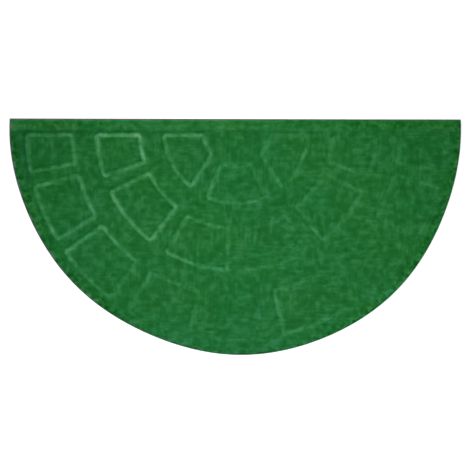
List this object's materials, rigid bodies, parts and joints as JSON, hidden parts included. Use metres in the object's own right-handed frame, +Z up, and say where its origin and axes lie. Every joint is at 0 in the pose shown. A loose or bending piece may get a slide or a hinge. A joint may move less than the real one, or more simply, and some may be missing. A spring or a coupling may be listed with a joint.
{
  "type": "half moon doormat",
  "caption": "Half moon doormat lying flat: a low green pile pressed with grooves that draw half rings of paving stones, straight edge to the door.",
  "frame": {"origin": "on the underside, below the middle of the mat's box", "axes": "+Z up out of the pile, +X along the straight edge, +Y towards the straight edge, which lies against the door sill; the round edge points to -Y"},
  "size_m": [0.75, 0.3918, 0.007],
  "materials": {
    "pile": "short dense synthetic pile, matte with a faint sheen, pressed grooves lighter"
  },
  "bodies": {
    "root": {"mat": "pile"}
  },
  "joints": []
}
